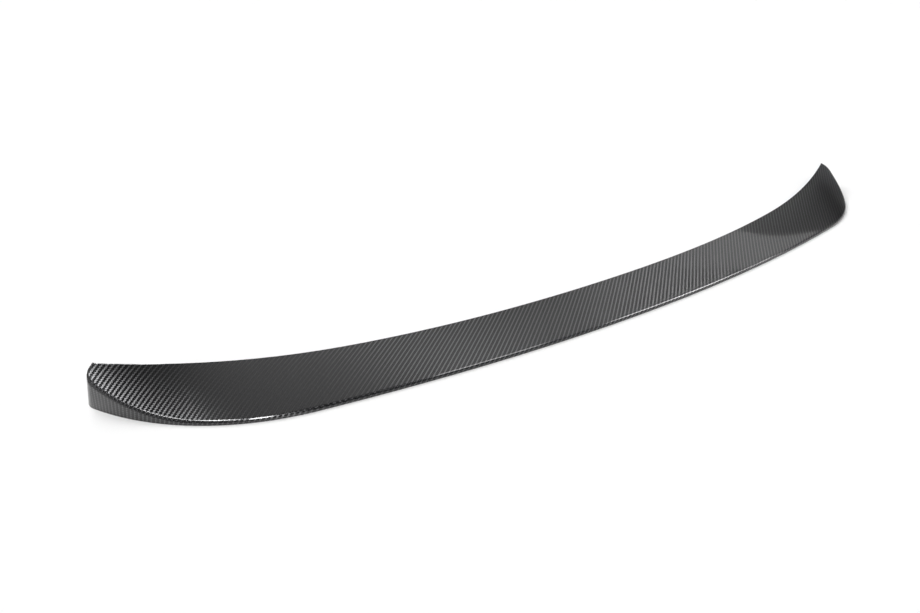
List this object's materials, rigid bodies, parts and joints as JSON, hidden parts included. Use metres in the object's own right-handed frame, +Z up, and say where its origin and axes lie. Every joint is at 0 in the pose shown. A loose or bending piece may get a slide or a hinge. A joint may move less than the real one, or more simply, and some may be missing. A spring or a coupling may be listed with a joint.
{
  "type": "car rear spoiler",
  "caption": "Long swept lip spoiler for the rear of a car, a thin woven carbon shell with rounded outer corners, raised tips and a turned-down rim, open underneath.",
  "frame": {"origin": "middle of the lower rim under the trailing edge", "axes": "+X across the car to the right as seen from behind, +Y to the front of the car, +Z up"},
  "size_m": [1.412, 0.2021, 0.0427],
  "materials": {
    "carbon_laminate": "twill carbon cloth under a clear gloss coat"
  },
  "bodies": {
    "root": {"spoiler_shell": "carbon_laminate"}
  },
  "joints": []
}
